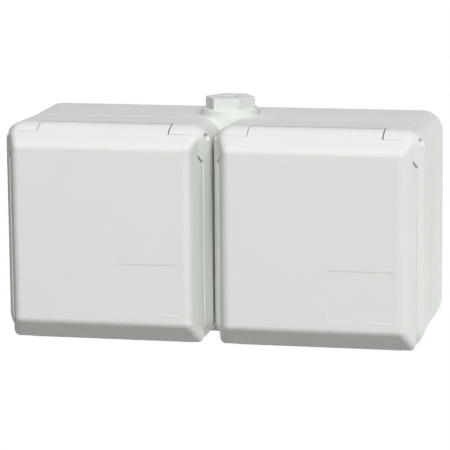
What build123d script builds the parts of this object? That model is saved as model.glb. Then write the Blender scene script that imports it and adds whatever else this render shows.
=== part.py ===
from build123d import *
from math import atan, atan2, cos, degrees, hypot, radians, sin, sqrt, tan
import os

os.makedirs("parts", exist_ok=True)

# A surface-mounted double socket with two hinged lids. Sizes are in millimetres.
# X runs along the wall, Y points into the wall and Z is up. The origin is the middle of the rear face.
# Heights are measured from the middle of the housing, and setbacks from the face of the lids.

# Overall
unit_width = 87.1
unit_height = 91.8
unit_gap = 0.9
total_depth = 72.0

# Rear housing
housing_step = 0.25
housing_depth = 34.0
housing_draft = 0.2
housing_corner_radius = 8.8
housing_foot_radius = 11.2
housing_wall = 3.0
rear_wall = 3.5
rear_edge = 0.6
web_width = 11.0
web_thickness = 2.5
post_radius = 4.6

# Wall fixing in the rear face
wall_screw_spacing_x = 140.0
wall_screw_spacing_z = 60.0
wall_hole_radius = 2.6
wall_pad_radius = 6.0
rear_rim = 7.0
rear_recess = 1.2

# Front frames
frame_draft = 0.65
corner_radius = 8.0
foot_radius = 10.5
frame_wall = 2.5
ridge_setback = 15.0
band_lean = 0.51
foot_rise = 0.55
band_wall = 2.6
panel_setback = 19.5
panel_thickness = 2.5
collar_size = 60.0
collar_wall = 2.2
collar_radius = 5.0
collar_setback = 5.2

# Hinge ears at the top corners of each frame
ear_setback = 7.4
ear_corner_radius = 3.5
ear_notch_height = 34.3
left_ear_reach = 28.35
right_ear_reach = 27.5

# Lids
face_side_inset = 6.65
face_top_inset = 7.35
face_bottom_inset = 10.3
side_lean = 0.37
top_lean = 0.6
bottom_lean = 0.84
lid_depth = 10.0
lid_wall = 2.2
lid_rear_setback = 15.6
lid_edge_radius = 3.8
lid_hip_radius = 3.0
lid_crest_radius = 9.0
lid_gap = 0.4
ear_gap = 0.4
notch_gap = 0.9
left_slot = 0.3
right_slot = 0.6
label_width = 27.6
label_height = 20.9
label_radius = 1.5
label_recess = 0.3
label_x = 19.6
label_z = -20.45

# Hinge
hinge_setback = 13.0
hinge_drop = 4.6
pin_radius = 1.5
pin_length = 76.0
pin_fit = 0.02
pin_running_clearance = 0.05
pin_chamfer = 0.3
lug_radius = 3.8
lug_inner_x = 15.0
hinge_sweep_radius = 5.7
spring_wire = 0.6
spring_clearance = 0.15
spring_turns = 7
spring_pitch = 0.9
spring_bay_radius = 2.9
spring_end_gap = 0.3
spring_collar_gap = 4.6

# Gaskets
gasket_width = 4.7
gasket_thickness = 2.6
gasket_side_clearance = 0.1
gasket_rib = 1.2
gasket_rib_height = 1.6
frame_seal_width = 1.4
frame_seal_thickness = 1.2
frame_seal_clearance = 0.1

# Socket inserts
socket_z = 0.5
insert_size = 55.0
insert_radius = 4.0
insert_flange = 3.0
well_radius = 21.75
well_depth = 17.5
insert_wall = 2.75
insert_floor = 3.5
insert_clearance = 0.2
key_width = 5.0
key_height = 2.1
key_setback = 1.0
pin_spacing = 19.0
pin_hole_radius = 2.75

# Contacts behind the insert
carrier_radius = 22.5
wiring_depth = 11.0
sleeve_radius = 3.6
sleeve_bore = 2.35
sleeve_slit = 0.7
contact_clearance = 0.1
sleeve_end_gap = 0.5
terminal_width = 8.0
terminal_length = 9.0
wire_hole_radius = 1.7
earth_width = 5.5
earth_thickness = 1.0
earth_clearance = 0.3
earth_reach = 20.2
earth_arm_setback = 22.0
earth_bulge = 2.0
earth_foot = 1.0
earth_post = 7.0

# Screws
frame_screw_radius = 1.9
frame_screw_grip = 14.0
frame_screw_side_inset = 9.5
frame_screw_top_inset = 21.9
frame_screw_bottom_inset = 11.9
frame_boss_radius = 4.2
insert_screw_radius = 1.5
insert_screw_length = 12.0
insert_screw_offset = 23.0
insert_boss_radius = 3.2
insert_boss_length = 9.0
carrier_screw_radius = 1.25
carrier_screw_x = 17.6
carrier_screw_grip = 2.8
terminal_screw_radius = 1.4
terminal_screw_length = 4.0
terminal_screw_gap = 1.0
screw_tip_gap = 0.5
screw_clearance = 0.2
thread_clearance = 0.05
head_ratio = 1.75
head_height_ratio = 1.1
screw_slot_ratio = 0.4

# Cable gland on the top of the housing
gland_setback = 12.6
gland_pad_height = 0.55
gland_pad_radius = 12.4
gland_pad_depth = 3.6
gland_flange_radius = 12.2
gland_flange_height = 1.0
gland_skirt_radius = 11.8
gland_skirt_height = 1.0
gland_hex = 18.4
gland_hex_height = 4.8
gland_hex_corner = 0.9
gland_thread_radius = 8.0
gland_thread_length = 12.0
gland_bore = 5.0
gland_neck_radius = 7.5
gland_neck_bore = 6.4
gland_neck_height = 3.6
gland_hole_radius = 3.45
gland_cap_roof = 2.0
gland_seal_hole = 3.5
gland_seal_height = 3.8
gland_fit = 0.1
locknut_hex = 19.5
locknut_height = 4.0

# Places worked out from the sizes above
half_width = unit_width / 2
half_height = unit_height / 2
unit_pitch = unit_width + unit_gap
housing_width = 2 * unit_width + unit_gap - 2 * housing_step
housing_height = unit_height - 2 * housing_step
face_width = unit_width - 2 * face_side_inset
face_top = half_height - face_top_inset
face_bottom = -half_height + face_bottom_inset
front_y = -total_depth
seam_y = -housing_depth
ridge_y = front_y + ridge_setback
base_y = front_y + lid_depth
ledge_y = base_y + lid_gap
ear_y = front_y + ear_setback
panel_y = front_y + panel_setback
panel_back_y = panel_y + panel_thickness
collar_y = front_y + collar_setback
hinge_y = front_y + hinge_setback
hinge_z = half_height - hinge_drop
collar_top = socket_z + collar_size / 2
spring_reach = panel_y - spring_end_gap - hinge_y
spring_leg_angle = degrees(atan2(hinge_z - collar_top - spring_collar_gap, spring_reach))
lid_rear_y = front_y + lid_rear_setback
lid_inside_y = front_y + lid_wall
insert_y = panel_y - insert_flange
well_floor_y = insert_y + well_depth
insert_back_y = well_floor_y + insert_floor
terminal_y = -wiring_depth
carrier_back_y = terminal_y - terminal_length
carrier_thickness = carrier_back_y - insert_back_y
frame_screw_length = seam_y - panel_y + frame_screw_grip
housing_top = housing_height / 2
left_ear_x = -left_ear_reach
right_ear_x = right_ear_reach
left_knuckle_x = left_ear_x + left_slot
right_knuckle_x = right_ear_x - right_slot
gland_y = seam_y + gland_setback
gland_z = housing_top + gland_pad_height
pad_bottom = housing_top - gland_pad_depth
flange_top = gland_z + gland_flange_height
skirt_top = flange_top + gland_skirt_height
cap_top = skirt_top + gland_hex_height
neck_top = flange_top + gland_neck_height
far = housing_width

frame_screw_x = half_width - frame_screw_side_inset
frame_screw_places = [
    (side * frame_screw_x, z)
    for side in (-1, 1)
    for z in (-half_height + frame_screw_bottom_inset, half_height - frame_screw_top_inset)
]
insert_screw_places = [
    (-insert_screw_offset, socket_z + insert_screw_offset),
    (insert_screw_offset, socket_z - insert_screw_offset),
]
carrier_screw_places = [(-carrier_screw_x, socket_z), (carrier_screw_x, socket_z)]
unit_places = {"left": -unit_pitch / 2, "right": unit_pitch / 2}


def upright(y):
    """The upright plane at depth y, with X to the right and Z up."""
    return Plane.XZ.offset(-y)


def prism(outline, front, back):
    """An outline in X and Z, made solid from depth front to depth back."""
    return extrude(upright(back) * outline, amount=back - front)


def taper(outlines):
    """A smooth solid through upright outlines, given as (depth, outline) pairs."""
    return loft([upright(y) * outline for y, outline in outlines])


def rod(radius, front, back, x=0, z=0):
    """A round bar along Y between two depths."""
    return prism(Pos(x, z) * Circle(radius), front, back)


def across(profile, x_start, x_end):
    """A profile in Y and Z, made solid along X."""
    return Pos(x_start, 0, 0) * extrude(Plane.YZ * profile, amount=x_end - x_start)


def axle(radius, x_start, x_end):
    """A round bar along the hinge axis."""
    return across(Pos(hinge_y, hinge_z) * Circle(radius), x_start, x_end)


def rounded(width, height, radius, z=0):
    """A rounded rectangle whose middle is at height z."""
    return Pos(0, z) * RectangleRounded(width, height, radius)


def footed(width, top, bottom, radius, low_radius):
    """A rectangle between two heights, with one radius at its upper corners and another at its feet."""
    plain = Pos(0, (top + bottom) / 2) * Rectangle(width, top - bottom)
    shouldered = fillet(plain.vertices().group_by(Axis.Y)[-1], radius)
    return fillet(shouldered.vertices().group_by(Axis.Y)[0], low_radius)


def collar_line(offset):
    """Rounded square along the middle of the plug collar's wall, grown by offset."""
    size = collar_size - collar_wall + 2 * offset
    return rounded(size, size, collar_radius - collar_wall / 2 + offset, socket_z)


def collar_ring(outer, inner, front, back):
    """A ring that follows the plug collar, between two offsets from the middle of its wall."""
    return prism(collar_line(outer) - collar_line(inner), front, back)


def gland_turned(radius, low, high):
    """A round piece on the gland's axis between two heights."""
    return Pos(0, gland_y, low) * Cylinder(radius, high - low, align=(Align.CENTER, Align.CENTER, Align.MIN))


def screw(radius, length, head_y, x, z):
    """A slotted cheese-head screw that points into the wall, with the underside of its head at head_y."""
    head_front = head_y - radius * head_height_ratio
    slot_depth = radius * head_height_ratio / 2
    body = rod(radius * head_ratio, head_front, head_y, x, z) + rod(radius, head_y, head_y + length, x, z)
    slot = Pos(x, z) * Rectangle(far, radius * screw_slot_ratio)
    return body - prism(slot, head_front, head_front + slot_depth)


def rear_screw(radius, length, head_y, x, z):
    """The same screw, driven from the wall side."""
    turned = Rot(0, 0, 180) * screw(radius, length, 0, -x, z)
    return Pos(0, head_y, 0) * turned


def crest(y):
    """Height of the top at depth y: flat, then rounded over the crest, then slanting to the lid's face."""
    lean_angle = atan(top_lean)
    corner_y = front_y + (half_height - face_top) / top_lean
    tangent = lid_crest_radius * tan(lean_angle / 2)
    if y >= corner_y + tangent:
        return half_height
    if y <= corner_y - tangent * cos(lean_angle):
        return face_top + top_lean * (y - front_y)
    return half_height - lid_crest_radius + sqrt(lid_crest_radius**2 - (corner_y + tangent - y) ** 2)


def frame_outline(y):
    """Outline of the frame's slanted front band at depth y."""
    forward = ridge_y - y
    share = forward / (ridge_y - ear_y)
    top = crest(y)
    lean = band_lean * forward
    bottom = -half_height + foot_rise + lean
    radius = corner_radius + share * (ear_corner_radius - corner_radius)
    return footed(unit_width - 2 * lean, top, bottom, radius, foot_radius - lean)


def housing_outline(y, inset=0.0):
    """Outline of the housing's walls at depth y, drawn in by inset."""
    drawn_in = inset - housing_draft * y / housing_depth
    reach = housing_height / 2 - drawn_in
    width = housing_width - 2 * drawn_in
    return footed(width, reach, -reach, housing_corner_radius - inset, housing_foot_radius - inset)


def frame_rear_outline(inset=0.0):
    """Outline of a frame where it meets the housing, drawn in by inset."""
    drawn_in = frame_draft + inset
    reach = half_height - drawn_in
    return footed(unit_width - 2 * drawn_in, reach, -reach, corner_radius - inset, foot_radius - inset)


def ear_zone(x_start, x_end):
    """The space that one hinge ear takes up, with the slanted foot that lets the lid swing past."""
    foot_z = ear_notch_height - (ledge_y - ear_y)
    profile = Polygon(
        (ear_y, ear_notch_height),
        (ledge_y, foot_z),
        (panel_y, foot_z),
        (panel_y, unit_height),
        (ear_y, unit_height),
        align=None,
    )
    return across(profile, x_start, x_end)


def make_rear_housing():
    """Back box with two openings, screw posts, a web between the frames and a seat for the gland."""
    outer = taper([(-rear_edge, housing_outline(-rear_edge)), (seam_y, housing_outline(seam_y))])
    outer += taper([(0, housing_outline(0, rear_edge)), (-rear_edge, housing_outline(-rear_edge))])
    inside_y = -rear_wall
    cavity = taper([(y, housing_outline(y, housing_wall)) for y in (inside_y, seam_y)])
    web = prism(Rectangle(web_width, housing_height - housing_wall), seam_y, seam_y + web_thickness)
    posts = [
        rod(post_radius, seam_y, inside_y, x + px, pz)
        for x in unit_places.values()
        for px, pz in frame_screw_places
    ]
    housing = outer - cavity + web + posts + gland_turned(gland_pad_radius, pad_bottom, gland_z)

    wall_holes = [
        (sx * wall_screw_spacing_x / 2, sz * wall_screw_spacing_z / 2) for sx in (-1, 1) for sz in (-1, 1)
    ]
    recess = prism(housing_outline(0, rear_rim), -rear_recess, 0)
    recess -= [rod(wall_pad_radius, -rear_recess, 0, x, z) for x, z in wall_holes]
    housing -= recess
    housing -= [rod(wall_hole_radius, -rear_wall, 0, x, z) for x, z in wall_holes]

    pilot_end = panel_y + frame_screw_length + screw_tip_gap
    pilot = frame_screw_radius + thread_clearance
    for x in unit_places.values():
        housing -= [rod(pilot, seam_y, pilot_end, x + px, pz) for px, pz in frame_screw_places]
        housing -= Pos(x, 0, 0) * seal_ring(seam_y, seam_y + frame_seal_thickness, frame_seal_clearance)
    return housing - gland_turned(gland_thread_radius + gland_fit, 0, gland_z)


def seal_ring(front, back, clearance=0.0):
    """Rounded ring under the middle of a frame's rear edge, or its groove when clearance is given."""
    inset = (frame_wall - frame_seal_width) / 2
    outer = frame_rear_outline(inset - clearance)
    inner = frame_rear_outline(inset + frame_seal_width + clearance)
    return prism(outer - inner, front, back)


def make_front_frame():
    """Deep frame with a slanted front band, hinge ears, inner panel, plug collar and screw bosses."""
    middle_y = (ridge_y + ear_y) / 2
    body = taper([(seam_y, frame_rear_outline()), (ridge_y, frame_outline(ridge_y))])
    band = taper([(y, frame_outline(y)) for y in (ridge_y, middle_y, ear_y)])
    ears = ear_zone(-far, left_ear_x) + ear_zone(right_ear_x, far)

    bay_top = half_height - frame_wall
    bay_inset = band_lean * (ridge_y - ledge_y) + band_wall
    bay_bottom = -half_height + foot_rise + bay_inset
    bay_outline = footed(
        unit_width - 2 * bay_inset, bay_top, bay_bottom, corner_radius - band_wall, foot_radius - bay_inset
    )
    bay = prism(bay_outline, front_y, panel_y)
    front = prism(Rectangle(far, far), front_y, ledge_y)
    frame = body + band - (front + bay - ears)

    lid_sweep = Polygon(
        (front_y, hinge_z),
        (hinge_y, hinge_z),
        (hinge_y, unit_height),
        (front_y, unit_height),
        align=None,
    )
    frame -= across(lid_sweep, left_ear_x, right_ear_x)
    frame -= axle(hinge_sweep_radius, left_ear_x, right_ear_x)
    frame -= prism(frame_rear_outline(frame_wall), panel_back_y, seam_y)
    frame += collar_ring(collar_wall / 2, -collar_wall / 2, collar_y, panel_y)
    frame += [rod(frame_boss_radius, panel_back_y, seam_y, x, z) for x, z in frame_screw_places]
    boss_back = panel_back_y + insert_boss_length
    frame += [rod(insert_boss_radius, panel_back_y, boss_back, x, z) for x, z in insert_screw_places]

    frame -= rod(well_radius + insert_wall + insert_clearance, panel_y, panel_back_y, 0, socket_z)
    screw_hole = frame_screw_radius + screw_clearance
    pilot = insert_screw_radius + thread_clearance
    frame -= [rod(screw_hole, panel_y, seam_y, x, z) for x, z in frame_screw_places]
    frame -= [rod(pilot, panel_y, boss_back, x, z) for x, z in insert_screw_places]
    frame -= axle(pin_radius + pin_fit, -half_width, half_width)
    return frame


def lid_block(inset, rear):
    """Solid block with the lid's outer form back to depth rear, drawn in by inset."""
    face = front_y + inset
    faces = []
    for y in (rear, face):
        forward = y - front_y
        half = face_width / 2 + side_lean * forward - inset * hypot(1, side_lean)
        top = face_top + top_lean * forward - inset * hypot(1, top_lean)
        bottom = face_bottom - bottom_lean * forward + inset * hypot(1, bottom_lean)
        faces.append((y, Pos(0, (top + bottom) / 2) * Rectangle(2 * half, top - bottom)))
    block = taper(faces)
    hips = block.edges() - block.edges().filter_by(Axis.X) - block.edges().filter_by(Axis.Z)
    block = fillet(hips, lid_hip_radius)
    block = fillet(block.faces().sort_by(Axis.Y)[0].edges(), lid_edge_radius - inset)

    # The slanted top is rounded over a crest into the flat strip above the hinge
    ceiling = half_height - inset
    crest_y = front_y + (ceiling - face_top + inset * hypot(1, top_lean)) / top_lean
    low = -unit_height
    ahead = face - lid_wall
    behind = rear + lid_wall
    side = Polygon(
        (ahead, low),
        (behind, low),
        (behind, ceiling),
        (crest_y, ceiling),
        (ahead, ceiling - top_lean * (crest_y - ahead)),
        align=None,
    )
    crest_corner = side.vertices().sort_by_distance((crest_y, ceiling))[0]
    side = fillet(crest_corner, lid_crest_radius - inset)
    return block & across(side, -half_width, half_width)


def make_lid():
    """Hinged lid: a slanted shell cut back round the ears, with lugs, gasket channel and label recess."""
    outer = lid_block(0, lid_rear_y)
    lid = outer - lid_block(lid_wall, panel_y)

    # Behind its base the lid only keeps the strip between the ears
    strip_floor = hinge_z - lug_radius
    below = Pos(0, base_y, strip_floor) * Box(far, far, far, align=(Align.CENTER, Align.MIN, Align.MAX))
    pocket_front = ear_y - ear_gap
    notch_drop = notch_gap * hypot(1, 1)
    pocket = Polygon(
        (pocket_front, ear_notch_height + ear_gap - notch_drop),
        (base_y, ear_notch_height - (base_y - ear_y) - notch_drop),
        (panel_y, ear_notch_height - (base_y - ear_y) - notch_drop),
        (panel_y, unit_height),
        (pocket_front, unit_height),
        align=None,
    )
    lid -= [below, across(pocket, -far, left_knuckle_x), across(pocket, right_knuckle_x, far)]

    lug_profile = Pos(hinge_y, hinge_z) * Circle(lug_radius)
    lug_stem = Pos((hinge_y - lug_radius + lid_rear_y) / 2, hinge_z + hinge_drop / 2) * Rectangle(
        lid_rear_y - hinge_y + lug_radius, hinge_drop
    )
    for start, end in ((left_knuckle_x, -lug_inner_x), (lug_inner_x, right_knuckle_x)):
        lid += across(lug_profile, start, end) + (across(lug_stem, start, end) & outer)
    lid -= axle(pin_radius + pin_running_clearance, left_knuckle_x, right_knuckle_x)
    lid -= axle(spring_bay_radius, -lug_inner_x, lug_inner_x)

    rib_back = lid_inside_y + gasket_rib_height
    channel = gasket_width / 2 + gasket_side_clearance
    lid += collar_ring(channel + gasket_rib, channel, lid_inside_y, rib_back)
    lid += collar_ring(-channel, -channel - gasket_rib, lid_inside_y, rib_back)
    label = Pos(label_x, label_z) * RectangleRounded(label_width, label_height, label_radius)
    return lid - prism(label, front_y, front_y + label_recess)


def make_lid_gasket():
    """Soft square ring in the lid's channel, in line with the frame's collar."""
    return collar_ring(gasket_width / 2, -gasket_width / 2, lid_inside_y, lid_inside_y + gasket_thickness)


def make_hinge_pin():
    """Plain steel pin with chamfered ends."""
    pin = axle(pin_radius, -pin_length / 2, pin_length / 2)
    return chamfer(pin.edges(), pin_chamfer)


def make_lid_spring():
    """Torsion spring round the pin, with a long leg back to the panel and a short one under the lid."""
    wire = spring_wire / 2
    coil_radius = pin_radius + spring_clearance + wire
    coil_length = spring_turns * spring_pitch
    path = Helix(spring_pitch, coil_length, coil_radius, lefthand=True)
    start = Plane(path @ 0, z_dir=path % 0)
    coil = sweep(start * Circle(wire), path=path, is_frenet=True)

    lean = radians(spring_leg_angle)
    panel_length = (spring_reach + (coil_radius - wire) * sin(lean)) / cos(lean)
    lid_length = sqrt((spring_bay_radius - spring_end_gap) ** 2 - (coil_radius + wire) ** 2)
    base = (Align.CENTER, Align.CENTER, Align.MIN)
    panel_leg = Plane(path @ 0, z_dir=-(path % 0)) * Cylinder(wire, panel_length, align=base)
    lid_leg = Plane(path @ 1, z_dir=path % 1) * Cylinder(wire, lid_length, align=base)
    along_x = Pos(-coil_length / 2, hinge_y, hinge_z) * Rot(0, 90, 0) * Rot(0, 0, -spring_leg_angle)
    return along_x * (coil + panel_leg + lid_leg)


def make_socket_insert():
    """Moulded insert with a square flange, a round plug well, side keys and pin holes in its floor."""
    insert = prism(rounded(insert_size, insert_size, insert_radius, socket_z), insert_y, panel_y)
    insert += rod(well_radius + insert_wall, panel_y, insert_back_y, 0, socket_z)
    insert -= rod(well_radius, insert_y, well_floor_y, 0, socket_z)
    key_root = insert_wall / 2
    for side in (-1, 1):
        key_x = side * (well_radius + (key_root - key_height) / 2)
        key = Pos(key_x, socket_z) * Rectangle(key_height + key_root, key_width)
        insert += prism(key, insert_y + key_setback, well_floor_y)
        slot = Pos(0, socket_z + side * earth_reach) * Rectangle(
            earth_width + 2 * earth_clearance, earth_thickness + 2 * earth_clearance
        )
        insert -= prism(slot, well_floor_y, insert_back_y)
        insert -= rod(pin_hole_radius, well_floor_y, insert_back_y, side * pin_spacing / 2, socket_z)
    insert -= [
        rod(insert_screw_radius + screw_clearance, insert_y, panel_y, x, z) for x, z in insert_screw_places
    ]
    pilot = carrier_screw_radius + thread_clearance
    return insert - [
        rod(pilot, insert_back_y - carrier_screw_grip, insert_back_y, x, z) for x, z in carrier_screw_places
    ]


def make_contact_carrier():
    """Insulating disc behind the insert, with pockets for the sleeves, the earth strip and its post."""
    carrier = rod(carrier_radius, insert_back_y, carrier_back_y, 0, socket_z)
    groove = Pos(0, socket_z) * Rectangle(earth_width + 2 * earth_clearance, far)
    carrier -= prism(groove, insert_back_y, insert_back_y + earth_thickness + earth_clearance)
    post_size = earth_post + 2 * earth_clearance
    carrier -= prism(Pos(0, socket_z) * Rectangle(post_size, post_size), insert_back_y, carrier_back_y)
    sleeve_hole = sleeve_radius + contact_clearance
    for side in (-1, 1):
        carrier -= rod(sleeve_hole, insert_back_y, carrier_back_y, side * pin_spacing / 2, socket_z)
    screw_hole = carrier_screw_radius + screw_clearance
    return carrier - [rod(screw_hole, insert_back_y, carrier_back_y, x, z) for x, z in carrier_screw_places]


def terminal(x, width, front):
    """Terminal block with a wire hole across it and a threaded screw hole from the back."""
    block = prism(Pos(x, socket_z) * Rectangle(width, width), front, terminal_y)
    wire_y = carrier_back_y + terminal_length / 2
    block -= Pos(x, wire_y, socket_z) * Cylinder(wire_hole_radius, far)
    return block - rod(terminal_screw_radius + thread_clearance, wire_y, terminal_y, x, socket_z)


def make_pin_contact(side):
    """Slit brass sleeve for one plug pin, with its screw terminal behind the carrier."""
    x = side * pin_spacing / 2
    sleeve_front = insert_back_y + sleeve_end_gap
    sleeve = rod(sleeve_radius, sleeve_front, carrier_back_y, x, socket_z)
    sleeve -= rod(sleeve_bore, sleeve_front, carrier_back_y, x, socket_z)
    slit = Pos(x, socket_z) * Rectangle(sleeve_slit, 3 * sleeve_radius)
    sleeve -= prism(slit, sleeve_front, sleeve_front + carrier_thickness / 2)
    return sleeve + terminal(x, terminal_width, carrier_back_y)


def make_earth_clip():
    """Earth strip that lies behind the floor, with two bowed arms in the well and a terminal post."""
    strip_back = insert_back_y + earth_thickness
    tip_y = front_y + earth_arm_setback
    bow_y = (tip_y + well_floor_y) / 2
    outer = earth_reach + earth_thickness / 2
    arm = Polyline(
        (strip_back, 0),
        (strip_back, outer),
        (well_floor_y - earth_foot, outer),
        (bow_y, outer - earth_bulge),
        (tip_y, outer),
    )
    inner_arm = Polyline(
        (tip_y, outer),
        (tip_y, outer - earth_thickness),
        (bow_y, outer - earth_bulge - earth_thickness),
        (well_floor_y - earth_foot, outer - earth_thickness),
        (insert_back_y, outer - earth_thickness),
        (insert_back_y, 0),
        (strip_back, 0),
    )
    half_clip = across(make_face(arm + inner_arm), -earth_width / 2, earth_width / 2)
    clip = half_clip + mirror(half_clip, about=Plane.XY)
    return Pos(0, 0, socket_z) * clip + terminal(0, earth_post, strip_back)


def make_terminal_screws():
    """Clamping screws of the two pin contacts and the earth post, driven from the wall side."""
    places = (-pin_spacing / 2, 0, pin_spacing / 2)
    head_y = terminal_y + terminal_screw_gap
    return Compound([
        rear_screw(terminal_screw_radius, terminal_screw_length, head_y, x, socket_z) for x in places
    ])


def make_carrier_screws():
    """Screws that hold the carrier to the back of the insert."""
    length = carrier_thickness + carrier_screw_grip - screw_tip_gap
    return Compound([
        rear_screw(carrier_screw_radius, length, carrier_back_y, x, z) for x, z in carrier_screw_places
    ])


def make_frame_screws():
    """Screws that hold both frames to the posts of the housing."""
    return Compound([
        screw(frame_screw_radius, frame_screw_length, panel_y, unit_x + x, z)
        for unit_x in unit_places.values()
        for x, z in frame_screw_places
    ])


def make_insert_screws():
    """Screws that hold both inserts to the panels of the frames."""
    return Compound([
        screw(insert_screw_radius, insert_screw_length, insert_y, unit_x + x, z)
        for unit_x in unit_places.values()
        for x, z in insert_screw_places
    ])


def gland_hexagon(flats, low, high, corner):
    """A hexagonal piece of the gland, with one flat facing the front."""
    corner_reach = flats / 2 / cos(radians(30))
    outline = fillet(RegularPolygon(corner_reach, 6).vertices(), corner)
    return Pos(0, gland_y, low) * extrude(outline, amount=high - low)


def make_gland_body():
    """Threaded tube with a round flange on the housing and a neck that takes the seal."""
    body = gland_turned(gland_flange_radius, gland_z, flange_top)
    body += gland_turned(gland_thread_radius, gland_z - gland_thread_length, gland_z)
    body += gland_turned(gland_neck_radius, flange_top, neck_top)
    body -= gland_turned(gland_bore, gland_z - gland_thread_length, neck_top)
    return body - gland_turned(gland_neck_bore, gland_z, neck_top)


def make_gland_cap():
    """Hexagonal cap nut with a round skirt and the cable hole."""
    cap = gland_turned(gland_skirt_radius, flange_top, skirt_top)
    cap += gland_hexagon(gland_hex, skirt_top, cap_top, gland_hex_corner)
    cap -= gland_turned(gland_neck_radius + gland_fit, flange_top, cap_top - gland_cap_roof)
    return cap - gland_turned(gland_hole_radius, flange_top, cap_top)


def make_gland_seal():
    """Rubber ring that closes on the cable."""
    seal = gland_turned(gland_neck_bore - gland_fit, gland_z, gland_z + gland_seal_height)
    return seal - gland_turned(gland_seal_hole, gland_z, gland_z + gland_seal_height)


def make_gland_locknut():
    """Hexagonal nut that holds the gland inside the housing."""
    nut = gland_hexagon(locknut_hex, pad_bottom - locknut_height, pad_bottom, gland_hex_corner)
    return nut - gland_turned(gland_thread_radius + gland_fit, pad_bottom - locknut_height, pad_bottom)


def make_unit():
    """The pieces of one socket, named for their job and placed about its own middle."""
    return {
        "front_frame": make_front_frame(),
        "frame_gasket": seal_ring(seam_y, seam_y + frame_seal_thickness),
        "lid": make_lid(),
        "lid_gasket": make_lid_gasket(),
        "hinge_pin": make_hinge_pin(),
        "lid_spring": make_lid_spring(),
        "socket_insert": make_socket_insert(),
        "contact_carrier": make_contact_carrier(),
        "line_contact": make_pin_contact(-1),
        "neutral_contact": make_pin_contact(1),
        "earth_clip": make_earth_clip(),
        "terminal_screws": make_terminal_screws(),
        "carrier_screws": make_carrier_screws(),
    }


def make_parts():
    """Every piece of the double socket by its node name."""
    parts = {
        "rear_housing": make_rear_housing(),
        "frame_screws": make_frame_screws(),
        "insert_screws": make_insert_screws(),
        "gland_body": make_gland_body(),
        "gland_cap": make_gland_cap(),
        "gland_seal": make_gland_seal(),
        "gland_locknut": make_gland_locknut(),
    }
    unit = make_unit()
    for side, x in unit_places.items():
        for name, shape in unit.items():
            parts[f"{side}_{name}"] = Pos(x, 0, 0) * shape
    return parts


for node, shape in make_parts().items():
    export_step(shape, f"parts/{node}.step")
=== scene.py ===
"""Studio scene of a surface-mounted double wall socket with hinged, spring-closed lids.

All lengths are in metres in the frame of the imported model: X along the wall, Y into the wall, Z up.
"""
import logging
from dataclasses import dataclass
from enum import Enum
from math import cos, hypot, radians, sin, tan
from typing import Any, Callable, ClassVar

import bmesh
import bpy
from mathutils import Matrix, Vector


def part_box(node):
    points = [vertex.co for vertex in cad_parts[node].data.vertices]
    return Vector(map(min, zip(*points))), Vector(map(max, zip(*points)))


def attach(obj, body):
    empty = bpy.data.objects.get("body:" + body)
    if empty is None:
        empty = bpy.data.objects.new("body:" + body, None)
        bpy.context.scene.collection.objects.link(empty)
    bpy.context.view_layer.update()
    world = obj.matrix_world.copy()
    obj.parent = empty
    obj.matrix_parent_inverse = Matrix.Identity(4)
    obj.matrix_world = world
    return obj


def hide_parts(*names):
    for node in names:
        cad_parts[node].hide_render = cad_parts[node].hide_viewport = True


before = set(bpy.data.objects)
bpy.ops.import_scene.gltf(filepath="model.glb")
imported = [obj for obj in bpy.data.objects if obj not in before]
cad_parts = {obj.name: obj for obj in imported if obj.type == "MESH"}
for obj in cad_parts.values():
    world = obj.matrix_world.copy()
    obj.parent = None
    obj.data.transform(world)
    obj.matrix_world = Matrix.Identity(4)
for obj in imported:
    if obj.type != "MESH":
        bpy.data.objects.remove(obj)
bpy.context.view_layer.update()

LOG = logging.getLogger("double_wall_socket")
MM = 0.001
# Points closer than this are merged
TINY = 1e-6
# Places closer than this are taken for the same
NEAR = 2e-5
# A normal with more than this share along an axis faces along it
FACING = 0.99
# Edges that turn by more degrees than these stay sharp
MOULDED_ANGLE = 28.0
TURNED_ANGLE = 30.0
RUBBER_ANGLE = 35.0
WIRE_ANGLE = 50.0
# Half the angle between two corners of a hexagon
HALF_SIXTH = radians(30)


class Slot(Enum):
    """The material slots of the record."""

    HOUSING = "housing_plastic"
    INSERT = "insert_plastic"
    CARRIER = "carrier_plastic"
    RUBBER = "seal_rubber"
    STEEL = "fixing_steel"
    BRASS = "contact_brass"


class Side(Enum):
    """The two socket units, with the place of each along the wall."""

    LEFT = ("left", -0.044)
    RIGHT = ("right", 0.044)

    @property
    def word(self) -> str:
        """The word that starts the names of this unit's nodes."""
        return self.value[0]

    @property
    def x(self) -> float:
        """The middle of this unit along the wall."""
        return self.value[1]

    @property
    def lid_body(self) -> str:
        """The body that this unit's lid moves with."""
        return f"{self.word}_lid_body"


class Pick(Enum):
    """What a selection is made of, with its edit-mode name."""

    VERTS = "VERT"
    EDGES = "EDGE"
    FACES = "FACE"


def linear(code: str) -> tuple[float, float, float, float]:
    """Turn an sRGB colour into linear light.

    Args:
        code: Six hexadecimal digits after a hash sign.

    Returns:
        Red, green, blue and an alpha of one.
    """
    shares = [int(code[i:i + 2], 16) / 255 for i in (1, 3, 5)]
    red, green, blue = (s / 12.92 if s <= 0.04045 else ((s + 0.055) / 1.055) ** 2.4 for s in shares)
    return red, green, blue, 1.0


def add_node(tree: bpy.types.NodeTree, kind: str, settings: dict[str | int, Any] | None = None,
             links: dict[str | int, bpy.types.NodeSocket] | None = None) -> bpy.types.Node:
    """Add one node with its settings and links.

    Args:
        tree: The node tree that gets the node.
        kind: The node's type name.
        settings: Values of its input sockets, by name or number, or of its own properties.
        links: Output sockets that feed its inputs, by the input's name or number.

    Returns:
        The new node.
    """
    node = tree.nodes.new(kind)
    for key, value in (settings or {}).items():
        if isinstance(key, int) or key in node.inputs:
            node.inputs[key].default_value = value
        else:
            setattr(node, key, value)
    for key, source in (links or {}).items():
        tree.links.new(source, node.inputs[key])
    return node


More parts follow.
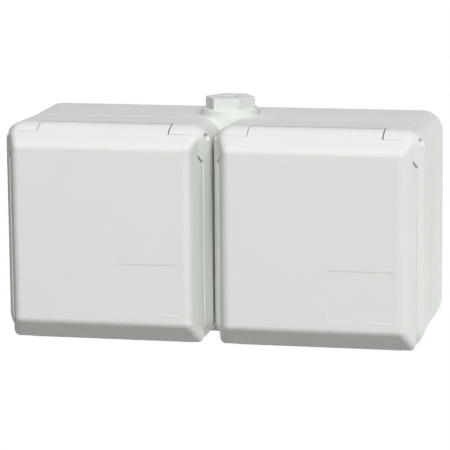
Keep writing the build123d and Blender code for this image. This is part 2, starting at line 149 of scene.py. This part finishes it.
def clear_selection() -> None:
    """Leave every object out of the selection, in object mode."""
    if bpy.context.object and bpy.context.object.mode != "OBJECT":
        bpy.ops.object.mode_set(mode="OBJECT")
    bpy.ops.object.select_all(action="DESELECT")


@dataclass(frozen=True)
class Finish:
    """A surface: its colours, its shine and the real size of its pattern.

    A broad mottle shifts the colour from pale to deep, and a fine grain lifts the surface and its shine.
    """

    name: str
    pale: str
    deep: str
    roughness: tuple[float, float]
    mottle_mm: float
    grain_mm: float
    grain_lift_mm: float
    grain_strength: float
    ior: float = 1.5
    sheen_level: float = 0.5
    metallic: float = 0.0
    stretch: tuple[float, float, float] = (1.0, 1.0, 1.0)
    # The settings of both noises, and the part of the grain's range that sets the shine
    MOTTLE: ClassVar[dict[str, float]] = {"Detail": 3.0, "Roughness": 0.55}
    GRAIN: ClassVar[dict[str, float]] = {"Detail": 2.0, "Roughness": 0.5}
    GRAIN_SPAN: ClassVar[tuple[float, float]] = (0.3, 0.7)

    def build(self) -> bpy.types.Material:
        """Make the material.

        Returns:
            A new material that reads Object coordinates.
        """
        material = bpy.data.materials.new(self.name)
        material.use_nodes = True
        tree = material.node_tree
        tree.nodes.clear()
        place = add_node(tree, "ShaderNodeTexCoord").outputs["Object"]
        drawn = add_node(tree, "ShaderNodeMapping", {"Scale": self.stretch}, {"Vector": place})
        mottle = add_node(tree, "ShaderNodeTexNoise",
                          {"Scale": 1 / (self.mottle_mm * MM), **self.MOTTLE},
                          {"Vector": drawn.outputs["Vector"]})
        grain = add_node(tree, "ShaderNodeTexNoise",
                         {"Scale": 1 / (self.grain_mm * MM), **self.GRAIN},
                         {"Vector": drawn.outputs["Vector"]})
        # The colour sockets share their names with others of this node, so they go by number
        tone = add_node(tree, "ShaderNodeMix",
                        {"data_type": "RGBA", 6: linear(self.pale), 7: linear(self.deep)},
                        {0: mottle.outputs["Fac"]})
        shine = add_node(tree, "ShaderNodeMapRange",
                         {"From Min": self.GRAIN_SPAN[0], "From Max": self.GRAIN_SPAN[1],
                          "To Min": self.roughness[0], "To Max": self.roughness[1]},
                         {"Value": grain.outputs["Fac"]})
        lift = add_node(tree, "ShaderNodeBump",
                        {"Strength": self.grain_strength, "Distance": self.grain_lift_mm * MM},
                        {"Height": grain.outputs["Fac"]})
        surface = add_node(tree, "ShaderNodeBsdfPrincipled",
                           {"IOR": self.ior, "Specular IOR Level": self.sheen_level,
                            "Metallic": self.metallic},
                           {"Base Color": tone.outputs[2], "Roughness": shine.outputs["Result"],
                            "Normal": lift.outputs["Normal"]})
        add_node(tree, "ShaderNodeOutputMaterial", links={"Surface": surface.outputs["BSDF"]})
        return material


FINISHES: dict[Slot, Finish] = {
    # Moulded polycarbonate blend from a spark-eroded tool: an even pale grey, nearly matt.
    # The real grain is about 0.1 mm, and it is drawn at 0.5 mm so that it shows at all.
    Slot.HOUSING: Finish("moulded_polycarbonate_light_grey", "#DCDFDB", "#D8DBD7", (0.74, 0.84),
                         mottle_mm=18, grain_mm=0.5, grain_lift_mm=0.012, grain_strength=0.12, ior=1.52,
                         sheen_level=0.04),
    # Moulded thermoset from a polished tool: smooth and glossier than the housing, slightly warmer.
    Slot.INSERT: Finish("moulded_urea_light_grey", "#D9DAD5", "#D2D4CF", (0.22, 0.30),
                        mottle_mm=10, grain_mm=0.9, grain_lift_mm=0.008, grain_strength=0.04, ior=1.55),
    # Glass-filled polyamide: dark and matt, with a fibrous mottle.
    Slot.CARRIER: Finish("moulded_polyamide_dark_grey", "#3A3B3D", "#2A2B2D", (0.50, 0.64),
                         mottle_mm=4, grain_mm=0.4, grain_lift_mm=0.02, grain_strength=0.25, ior=1.53),
    # Moulded rubber: nearly black, with a dusty bloom that spreads the light.
    Slot.RUBBER: Finish("moulded_rubber_black", "#232324", "#171718", (0.62, 0.78),
                        mottle_mm=5, grain_mm=0.35, grain_lift_mm=0.02, grain_strength=0.30, ior=1.52),
    # Zinc-plated steel: a cool bright metal with fine turning lines round the axis.
    Slot.STEEL: Finish("plated_steel_zinc", "#C6C9CC", "#AEB2B6", (0.22, 0.36), metallic=1.0,
                       mottle_mm=2.5, grain_mm=0.5, grain_lift_mm=0.006, grain_strength=0.20,
                       stretch=(1.0, 4.0, 1.0)),
    # Drawn brass strip: warm yellow metal with faint lines along the draw.
    Slot.BRASS: Finish("drawn_brass_strip", "#D9B56A", "#BE9650", (0.24, 0.40), metallic=1.0,
                       mottle_mm=3, grain_mm=0.6, grain_lift_mm=0.006, grain_strength=0.25,
                       stretch=(4.0, 1.0, 4.0)),
}


class Palette:
    """The finishes of the socket, each made once and shared."""

    def __init__(self) -> None:
        """Make one material for each slot of the record."""
        self._materials = {slot: finish.build() for slot, finish in FINISHES.items()}

    def dress(self, piece: bpy.types.Object, slot: Slot) -> None:
        """Give a piece the finish of a slot.

        Args:
            piece: The object to dress.
            slot: The slot whose finish it gets.
        """
        if not piece.material_slots:
            piece.data.materials.append(self._materials[slot])
        for holder in piece.material_slots:
            holder.material = self._materials[slot]


class Workpiece:
    """One mesh on the bench, shaped by edit-mode operators and finished with applied modifiers."""

    def __init__(self, name: str, add: Callable[..., Any], **settings: Any) -> None:
        """Add a primitive at its size and place.

        Args:
            name: The name of the piece.
            add: The operator that adds the primitive.
            **settings: The operator's settings.
        """
        clear_selection()
        add(**settings)
        self.piece = bpy.context.active_object
        self.piece.name = self.piece.data.name = name
        bpy.ops.object.transform_apply(location=True, rotation=True, scale=True)

    @classmethod
    def from_node(cls, node: str, name: str) -> "Workpiece":
        """Start from a merged copy of a CAD node's mesh.

        Args:
            node: The CAD node to copy.
            name: The name of the piece.

        Returns:
            The copy, ready to be shaped.
        """
        clear_selection()
        work = cls.__new__(cls)
        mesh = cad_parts[node].data.copy()
        mesh.name = name
        work.piece = bpy.data.objects.new(name, mesh)
        bpy.context.scene.collection.objects.link(work.piece)
        work.edit()
        bpy.ops.mesh.customdata_custom_splitnormals_clear()
        bpy.ops.mesh.select_all(action="SELECT")
        bpy.ops.mesh.remove_doubles(threshold=TINY)
        return work

    def edit(self) -> None:
        """Go to edit mode on this piece alone."""
        if bpy.context.object == self.piece and self.piece.mode == "EDIT":
            return
        clear_selection()
        self.piece.select_set(True)
        bpy.context.view_layer.objects.active = self.piece
        bpy.ops.object.mode_set(mode="EDIT")

    def pick(self, what: Pick, test: Callable[[Any], bool]) -> "Workpiece":
        """Select parts of the mesh by their place or normal.

        Args:
            what: The kind of part.
            test: Says whether a part belongs to the selection.

        Returns:
            This workpiece.
        """
        self.edit()
        bpy.ops.mesh.select_all(action="DESELECT")
        bpy.ops.mesh.select_mode(type=what.value)
        mesh = bmesh.from_edit_mesh(self.piece.data)
        parts = {Pick.VERTS: mesh.verts, Pick.EDGES: mesh.edges, Pick.FACES: mesh.faces}[what]
        for part in parts:
            part.select_set(test(part))
        mesh.select_flush_mode()
        bmesh.update_edit_mesh(self.piece.data)
        return self

    def bevel(self, width: float, segments: int = 3, affect: str = "EDGES") -> "Workpiece":
        """Round the selected edges or corners.

        Args:
            width: How far the rounding starts from the edge.
            segments: The number of facets across it.
            affect: EDGES or VERTICES.

        Returns:
            This workpiece.
        """
        bpy.ops.mesh.bevel(offset_type="OFFSET", offset=width, segments=segments, profile=0.5, affect=affect)
        return self

    def inset(self, width: float) -> "Workpiece":
        """Draw the selected faces in.

        Args:
            width: How far their edges move inwards.

        Returns:
            This workpiece.
        """
        bpy.ops.mesh.inset(thickness=width)
        return self

    def extrude(self, along: tuple[float, float, float]) -> "Workpiece":
        """Pull the selected faces out.

        Args:
            along: Where they go from their place.

        Returns:
            This workpiece.
        """
        bpy.ops.mesh.extrude_region_move(TRANSFORM_OT_translate={"value": along})
        return self

    def move(self, along: tuple[float, float, float]) -> "Workpiece":
        """Move the selected parts.

        Args:
            along: Where they go from their place.

        Returns:
            This workpiece.
        """
        bpy.ops.transform.translate(value=along)
        return self

    def stretch_up(self, factor: float, foot: float) -> "Workpiece":
        """Stretch the selected parts upwards.

        Args:
            factor: How many times their height over the foot they get.
            foot: The height that stays in place.

        Returns:
            This workpiece.
        """
        bpy.ops.transform.resize(value=(1, 1, factor), center_override=(0, 0, foot))
        return self

    def drop_faces(self) -> "Workpiece":
        """Delete the selected faces.

        Returns:
            This workpiece.
        """
        bpy.ops.mesh.delete(type="FACE")
        return self

    def combine(self, other: "Workpiece", operation: str) -> "Workpiece":
        """Add another workpiece to this one, or cut this one with it.

        Args:
            other: The other workpiece, which is used up.
            operation: UNION or DIFFERENCE.

        Returns:
            This workpiece.
        """
        clear_selection()
        self.piece.select_set(True)
        bpy.context.view_layer.objects.active = self.piece
        tool = self.piece.modifiers.new(operation.lower(), "BOOLEAN")
        tool.operation = operation
        tool.solver = "EXACT"
        tool.object = other.piece
        bpy.ops.object.modifier_apply(modifier=tool.name)
        bpy.data.objects.remove(other.piece)
        return self

    def finish(self, angle: float) -> bpy.types.Object:
        """Close the seams, turn the faces outwards and smooth all but the sharp edges.

        Args:
            angle: Edges sharper than this many degrees stay sharp.

        Returns:
            The finished object.
        """
        self.edit()
        bpy.ops.mesh.select_all(action="SELECT")
        bpy.ops.mesh.remove_doubles(threshold=TINY)
        bpy.ops.mesh.normals_make_consistent(inside=False)
        bpy.ops.object.mode_set(mode="OBJECT")
        return self.smooth(angle)

    def smooth(self, angle: float) -> bpy.types.Object:
        """Smooth the shading of all but the sharp edges, and keep the flats flat.

        Args:
            angle: Edges sharper than this many degrees stay sharp.

        Returns:
            The finished object.
        """
        clear_selection()
        self.piece.select_set(True)
        bpy.context.view_layer.objects.active = self.piece
        bpy.ops.object.shade_smooth_by_angle(angle=radians(angle), keep_sharp_edges=False)
        flats = self.piece.modifiers.new("flat_faces", "WEIGHTED_NORMAL")
        flats.keep_sharp = True
        bpy.ops.object.modifier_apply(modifier=flats.name)
        return self.piece


@dataclass
class Assembly:
    """A group of pieces that are built and dressed together."""

    palette: Palette
    body: str = "base"

    def place(self, piece: bpy.types.Object, slot: Slot, *nodes: str) -> bpy.types.Object:
        """Dress a finished piece and join it to the frame.

        Args:
            piece: The finished object.
            slot: The slot whose finish it gets.
            *nodes: The CAD nodes that it stands for.

        Returns:
            The same object.
        """
        self.palette.dress(piece, slot)
        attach(piece, self.body)
        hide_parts(*nodes)
        LOG.info("%s rides on %s in %s", piece.name, self.body, slot.value)
        return piece

    def smooth_node(self, node: str, slot: Slot, angle: float = MOULDED_ANGLE) -> bpy.types.Object:
        """Stand a smoothly shaded copy in for a CAD node.

        Args:
            node: The CAD node.
            slot: The slot whose finish it gets.
            angle: Edges sharper than this many degrees stay sharp.

        Returns:
            The copy.
        """
        return self.place(Workpiece.from_node(node, f"{node}_moulding").smooth(angle), slot, node)

    def keep_node(self, node: str, slot: Slot) -> None:
        """Leave a CAD node as it is and give it a finish.

        Args:
            node: The CAD node.
            slot: The slot whose finish it gets.
        """
        self.palette.dress(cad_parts[node], slot)
        LOG.info("%s stays in %s", node, slot.value)


@dataclass
class RearHousing(Assembly):
    """The back box on the wall."""

    def build(self) -> None:
        """Smooth and dress the back box."""
        self.smooth_node("rear_housing", Slot.HOUSING)


@dataclass
class CableGland(Assembly):
    """The gland on top of the housing, with its hexagonal cap nut."""

    flats: float = 0.0184
    corner_round: float = 0.0009
    rim_round: float = 0.00035
    skirt_height: float = 0.0010
    skirt_round: float = 0.0003
    hole_radius: float = 0.00345
    hole_round: float = 0.0003
    bore_radius: float = 0.0076
    roof: float = 0.0020
    overlap: float = 0.0004
    facets: int = 72

    def build(self) -> None:
        """Model the cap nut, and smooth and dress the rest of the gland."""
        self.place(self.cap_nut(), Slot.HOUSING, "gland_cap")
        self.smooth_node("gland_body", Slot.HOUSING)
        self.keep_node("gland_locknut", Slot.HOUSING)
        self.smooth_node("gland_seal", Slot.RUBBER)

    def round_bar(self, name: str, radius: float, low: float, high: float, centre: Vector) -> Workpiece:
        """Add an upright round bar on the gland's axis.

        Args:
            name: The name of the bar.
            radius: Its radius.
            low: The height of its lower end.
            high: The height of its upper end.
            centre: A point on the gland's axis.

        Returns:
            The bar.
        """
        return Workpiece(name, bpy.ops.mesh.primitive_cylinder_add, vertices=self.facets, radius=radius,
                         depth=high - low, location=(centre.x, centre.y, (low + high) / 2))

    def cap_nut(self) -> bpy.types.Object:
        """Model the hexagonal nut with its round skirt, bore and cable hole.

        Returns:
            The finished nut.
        """
        low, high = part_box("gland_cap")
        centre = (low + high) / 2
        skirt_top = low.z + self.skirt_height
        foot = skirt_top - self.overlap
        nut = Workpiece("gland_cap_nut", bpy.ops.mesh.primitive_cylinder_add, vertices=6,
                        radius=self.flats / 2 / cos(HALF_SIXTH), depth=high.z - foot,
                        location=(centre.x, centre.y, (foot + high.z) / 2), rotation=(0, 0, HALF_SIXTH))
        nut.pick(Pick.EDGES, lambda e: abs(e.verts[0].co.z - e.verts[1].co.z) > NEAR)
        nut.bevel(self.corner_round * tan(HALF_SIXTH), segments=5)
        nut.pick(Pick.EDGES, lambda e: all(v.co.z > high.z - NEAR for v in e.verts))
        nut.bevel(self.rim_round)

        skirt = self.round_bar("skirt", (high.x - low.x) / 2, low.z, skirt_top, centre)
        skirt.pick(Pick.EDGES, lambda e: all(v.co.z > skirt_top - NEAR for v in e.verts))
        skirt.bevel(self.skirt_round)
        nut.combine(skirt, "UNION")
        bore_top = high.z - self.roof
        nut.combine(self.round_bar("bore", self.bore_radius, low.z - MM, bore_top, centre), "DIFFERENCE")
        nut.combine(self.round_bar("hole", self.hole_radius, low.z, high.z + MM, centre), "DIFFERENCE")

        def on_mouth(edge: Any) -> bool:
            """Say whether an edge lies on the rim of the cable hole.

            Args:
                edge: An edge of the nut.

            Returns:
                Whether both its ends are on the rim.
            """
            reach = self.hole_radius + NEAR
            return all(v.co.z > high.z - NEAR and (v.co - centre).xy.length < reach for v in edge.verts)

        nut.pick(Pick.EDGES, on_mouth).bevel(self.hole_round)
        return nut.finish(TURNED_ANGLE)


@dataclass
class ScrewSet(Assembly):
    """Slotted pan-head screws of one size that point into the wall."""

    node: str = ""
    corners: tuple[tuple[int, int], ...] = ((-1, -1), (-1, 1), (1, -1), (1, 1))
    radius: float = 0.0019
    # The dome's ratio is to the height of the head, and the others and the slot's reach to the shank's radius
    head_ratio: float = 1.75
    height_ratio: float = 1.1
    slot_ratio: float = 0.4
    slot_reach: float = 4.0
    dome_ratio: float = 0.45
    tip_ratio: float = 0.35
    facets: int = 40

    def build(self) -> None:
        """Model one screw, copy it to every spot and join the copies."""
        spots = self.spots()
        first = self.one_screw(spots[0])
        clear_selection()
        for spot in spots[1:]:
            copy = first.copy()
            copy.data = first.data.copy()
            copy.data.transform(Matrix.Translation(spot - spots[0]))
            bpy.context.scene.collection.objects.link(copy)
            copy.select_set(True)
        first.select_set(True)
        bpy.context.view_layer.objects.active = first
        bpy.ops.object.join()
        self.place(first, Slot.STEEL, self.node)

    def spots(self) -> list[Vector]:
        """Work out where the heads stand from the box of the CAD screws.

        Returns:
            The middle of the front of each head, in both units.
        """
        low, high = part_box(self.node)
        head = self.radius * self.head_ratio
        reach = high.x - head - Side.RIGHT.x
        heights = {-1: low.z + head, 1: high.z - head}
        return [Vector((side.x + across * reach, low.y, heights[up]))
                for side in Side for across, up in self.corners]

    def one_screw(self, spot: Vector) -> bpy.types.Object:
        """Model one screw.

        Args:
            spot: The middle of the front of its head.

        Returns:
            The finished screw.
        """
        height = self.radius * self.height_ratio
        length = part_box(self.node)[1].y - spot.y - height
        screw = Workpiece(f"{self.node}_steel", bpy.ops.mesh.primitive_cylinder_add, vertices=self.facets,
                          radius=self.radius * self.head_ratio, depth=height,
                          location=spot + Vector((0, height / 2, 0)), rotation=(radians(90), 0, 0))
        screw.pick(Pick.EDGES, lambda e: all(v.co.y < spot.y + NEAR for v in e.verts))
        screw.bevel(height * self.dome_ratio, segments=5)
        screw.pick(Pick.FACES, lambda f: f.normal.y > FACING)
        screw.inset(self.radius * (self.head_ratio - 1)).extrude((0, length, 0))
        screw.inset(self.radius * self.tip_ratio)
        slot = Workpiece("slot", bpy.ops.mesh.primitive_cube_add, size=1.0, location=spot,
                         scale=(self.radius * self.slot_reach, height, self.radius * self.slot_ratio))
        return screw.combine(slot, "DIFFERENCE").finish(TURNED_ANGLE)


@dataclass
class SocketUnit(Assembly):
    """One socket: its frame, insert and contacts, which stay on the housing."""

    side: Side = Side.LEFT
    # The frame's rear rim in the CAD model, and how far its top is lifted
    seam_y: float = -0.034
    rim_half: float = 0.0429
    rim_top: float = 0.04525
    rim_corner: float = 0.008
    rim_lift: float = 0.00012

    def build(self) -> None:
        """Smooth the pieces that show, and dress those behind the insert."""
        word = self.side.word
        self.place(self.front_frame(), Slot.HOUSING, f"{word}_front_frame")
        self.smooth_node(f"{word}_socket_insert", Slot.INSERT)
        self.smooth_node(f"{word}_earth_clip", Slot.BRASS)
        self.smooth_node(f"{word}_hinge_pin", Slot.STEEL)
        self.smooth_node(f"{word}_lid_spring", Slot.STEEL, angle=WIRE_ANGLE)
        self.smooth_node(f"{word}_line_contact", Slot.BRASS)
        self.smooth_node(f"{word}_neutral_contact", Slot.BRASS)
        self.keep_node(f"{word}_frame_gasket", Slot.RUBBER)
        self.keep_node(f"{word}_contact_carrier", Slot.CARRIER)
        self.keep_node(f"{word}_terminal_screws", Slot.STEEL)
        self.keep_node(f"{word}_carrier_screws", Slot.STEEL)

    def front_frame(self) -> bpy.types.Object:
        """Smooth the frame and bring the top of its rear rim close to the housing's edge.

        Returns:
            The finished frame.
        """
        shoulder = self.rim_top - self.rim_corner

        def on_rim(vert: Any) -> bool:
            """Say whether a point lies on the top or an upper corner of the rear rim.

            Args:
                vert: A point of the frame.

            Returns:
                Whether it is on the outline there.
            """
            across = max(abs(vert.co.x - self.side.x) - self.rim_half + self.rim_corner, 0)
            up = vert.co.z - shoulder
            return (abs(vert.co.y - self.seam_y) < NEAR and up > NEAR
                    and hypot(across, up) > self.rim_corner - NEAR)

        node = f"{self.side.word}_front_frame"
        moulding = Workpiece.from_node(node, f"{node}_moulding").pick(Pick.VERTS, on_rim)
        return moulding.stretch_up(1 + self.rim_lift / self.rim_corner, shoulder).smooth(MOULDED_ANGLE)


@dataclass
class Lid(Assembly):
    """One hinged lid with the soft ring that closes on the plug collar."""

    side: Side = Side.LEFT
    ring_width: float = 0.0047
    ring_corner: float = 0.00625
    lip_round: float = 0.0011
    # The depth of the label recess in the CAD model, and how far its floor is lifted
    label_recess: float = 0.0003
    label_lift: float = 0.00015
    # The normals of a flat and a wall add up to a share of one along Y, and those of two flats to two
    rim_share: float = 1.5

    def build(self) -> None:
        """Smooth the lid and model its ring."""
        word = self.side.word
        self.place(self.cover(), Slot.HOUSING, f"{word}_lid")
        self.place(self.sealing_ring(), Slot.RUBBER, f"{word}_lid_gasket")

    def cover(self) -> bpy.types.Object:
        """Smooth the lid and lift the floor of its shallow label recess.

        Returns:
            The finished lid.
        """
        node = f"{self.side.word}_lid"
        floor_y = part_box(node)[0].y + self.label_recess
        lid = Workpiece.from_node(node, f"{node}_moulding")
        lid.pick(Pick.VERTS, lambda v: abs(v.co.y - floor_y) < NEAR and any(
            f.normal.y < -FACING and abs(f.calc_center_median().y - floor_y) < NEAR for f in v.link_faces))
        return lid.move((0, -self.label_lift, 0)).smooth(MOULDED_ANGLE)

    def sealing_ring(self) -> bpy.types.Object:
        """Model the rounded square ring with a soft lip towards the collar.

        Returns:
            The finished ring.
        """
        low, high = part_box(f"{self.side.word}_lid_gasket")
        middle = (low + high) / 2
        ring = Workpiece(f"{self.side.word}_sealing_ring", bpy.ops.mesh.primitive_plane_add,
                         size=high.x - low.x, location=(middle.x, low.y, middle.z),
                         rotation=(radians(90), 0, 0))
        ring.pick(Pick.VERTS, lambda v: True).bevel(self.ring_corner, segments=8, affect="VERTICES")
        ring.pick(Pick.FACES, lambda f: True).inset(self.ring_width).drop_faces()
        ring.pick(Pick.FACES, lambda f: True).extrude((0, high.y - low.y, 0))
        bpy.ops.mesh.select_all(action="SELECT")
        bpy.ops.mesh.normals_make_consistent(inside=False)
        ring.pick(Pick.EDGES, lambda e: all(v.co.y > high.y - NEAR for v in e.verts)
                  and len(e.link_faces) == 2
                  and abs(e.link_faces[0].normal.y) + abs(e.link_faces[1].normal.y) < self.rim_share)
        ring.bevel(self.lip_round, segments=4)
        return ring.finish(RUBBER_ANGLE)


@dataclass(frozen=True)
class Lamp:
    """A square soft light that faces the socket, with its size in metres and its power in watts."""

    name: str
    place: tuple[float, float, float]
    size: float
    power: float

    def build(self, target: Vector) -> None:
        """Add the light.

        Args:
            target: The point that it faces.
        """
        data = bpy.data.lights.new(self.name, "AREA")
        data.shape = "SQUARE"
        data.size = self.size
        data.energy = self.power
        lamp = bpy.data.objects.new(self.name, data)
        lamp.location = self.place
        lamp.rotation_euler = (target - lamp.location).to_track_quat("-Z", "Y").to_euler()
        lamp.visible_camera = False
        bpy.context.scene.collection.objects.link(lamp)


@dataclass
class Studio:
    """The camera, the lamps, the pale floor and the white surroundings."""

    LAMPS: ClassVar[tuple[Lamp, ...]] = (
        Lamp("key_lamp", (1.60, -1.60, 2.30), 2.0, 53.0),
        Lamp("front_lamp", (0.00, -2.46, 2.10), 2.0, 82.0),
        Lamp("right_lamp", (2.40, -1.54, 1.50), 1.4, 6.0),
        Lamp("low_side_lamp", (1.12, 0.56, -0.59), 0.6, 13.0),
        Lamp("back_lamp", (0.00, 2.34, -0.33), 1.0, 24.0),
    )
    # The camera's place, and its turns in degrees
    eye: tuple[float, float, float] = (0.22552, -1.08986, 0.20321)
    yaw: float = 12.06
    pitch: float = 10.65
    roll: float = -0.51
    focal_px: float = 2618.94
    frame_px: float = 450.0
    sensor_mm: float = 36.0
    clip_near: float = 0.01
    aim: tuple[float, float, float] = (0.0, -0.04, 0.0)
    ambient: float = 0.02
    floor_z: float = -0.75
    floor_size: float = 16.0
    floor_tone: str = "#BEBEBC"
    white: tuple[float, float, float, float] = (1.0, 1.0, 1.0, 1.0)

    def build(self) -> None:
        """Set up everything round the socket."""
        bpy.context.scene.view_settings.view_transform = "Standard"
        self.add_camera()
        self.add_floor()
        self.light_world()
        for lamp in self.LAMPS:
            lamp.build(Vector(self.aim))
        LOG.info("studio with %d lamps", len(self.LAMPS))

    def add_camera(self) -> None:
        """Put the camera in front of the socket, a little above it and to its right."""
        yaw, pitch, roll = radians(self.yaw), radians(self.pitch), radians(self.roll)
        right = Vector((cos(yaw), sin(yaw), 0))
        down = Vector((sin(yaw) * sin(pitch), -cos(yaw) * sin(pitch), -cos(pitch)))
        ahead = Vector((-sin(yaw) * cos(pitch), cos(yaw) * cos(pitch), -sin(pitch)))
        rolled_right = right * cos(roll) - down * sin(roll)
        rolled_down = right * sin(roll) + down * cos(roll)
        data = bpy.data.cameras.new("studio_camera")
        data.sensor_fit = "HORIZONTAL"
        data.sensor_width = self.sensor_mm
        data.lens = self.focal_px / self.frame_px * self.sensor_mm
        data.clip_start = self.clip_near
        camera = bpy.data.objects.new("studio_camera", data)
        turn = Matrix((rolled_right, -rolled_down, -ahead)).transposed()
        camera.matrix_world = Matrix.Translation(self.eye) @ turn.to_4x4()
        bpy.context.scene.collection.objects.link(camera)
        bpy.context.scene.camera = camera

    def seen_white(self, tree: bpy.types.NodeTree) -> bpy.types.NodeSocket:
        """Add the switch that shows plain white to the camera, to mirrors and through glass.

        Args:
            tree: The node tree that gets the switch.

        Returns:
            A socket that is one for those rays.
        """
        path = add_node(tree, "ShaderNodeLightPath")
        glossy = add_node(tree, "ShaderNodeMath", {"operation": "MAXIMUM"},
                          {0: path.outputs["Is Camera Ray"], 1: path.outputs["Is Glossy Ray"]})
        both = add_node(tree, "ShaderNodeMath", {"operation": "MAXIMUM"},
                        {0: glossy.outputs["Value"], 1: path.outputs["Is Transmission Ray"]})
        return both.outputs["Value"]

    def add_floor(self) -> None:
        """Lay the pale floor well below the socket, which hangs on a wall."""
        clear_selection()
        bpy.ops.mesh.primitive_plane_add(size=self.floor_size, location=(0, 0, self.floor_z))
        floor = bpy.context.active_object
        floor.name = "studio_floor"
        material = bpy.data.materials.new("studio_floor_white")
        material.use_nodes = True
        tree = material.node_tree
        tree.nodes.clear()
        matt = add_node(tree, "ShaderNodeBsdfDiffuse", {"Color": linear(self.floor_tone)})
        white = add_node(tree, "ShaderNodeEmission", {"Color": self.white, "Strength": 1.0})
        mixed = add_node(tree, "ShaderNodeMixShader", links={
            0: self.seen_white(tree), 1: matt.outputs["BSDF"], 2: white.outputs["Emission"]})
        add_node(tree, "ShaderNodeOutputMaterial", links={"Surface": mixed.outputs["Shader"]})
        floor.data.materials.append(material)

    def light_world(self) -> None:
        """Fill the surroundings with an even soft light that shows as white."""
        world = bpy.data.worlds.new("studio_world")
        world.use_nodes = True
        tree = world.node_tree
        tree.nodes.clear()
        soft = add_node(tree, "ShaderNodeBackground", {"Color": self.white, "Strength": self.ambient})
        white = add_node(tree, "ShaderNodeBackground", {"Color": self.white, "Strength": 1.0})
        mixed = add_node(tree, "ShaderNodeMixShader", links={
            0: self.seen_white(tree), 1: soft.outputs["Background"], 2: white.outputs["Background"]})
        add_node(tree, "ShaderNodeOutputWorld", links={"Surface": mixed.outputs["Shader"]})
        bpy.context.scene.world = world


def main() -> None:
    """Build the socket piece by piece, then the studio round it."""
    logging.basicConfig(level=logging.INFO, format="%(message)s")
    palette = Palette()
    RearHousing(palette).build()
    CableGland(palette).build()
    for side in Side:
        SocketUnit(palette, side=side).build()
        Lid(palette, body=side.lid_body, side=side).build()
    ScrewSet(palette, node="frame_screws").build()
    ScrewSet(palette, node="insert_screws", corners=((-1, 1), (1, -1)), radius=0.0015).build()
    Studio().build()


if __name__ == "__main__":
    main()
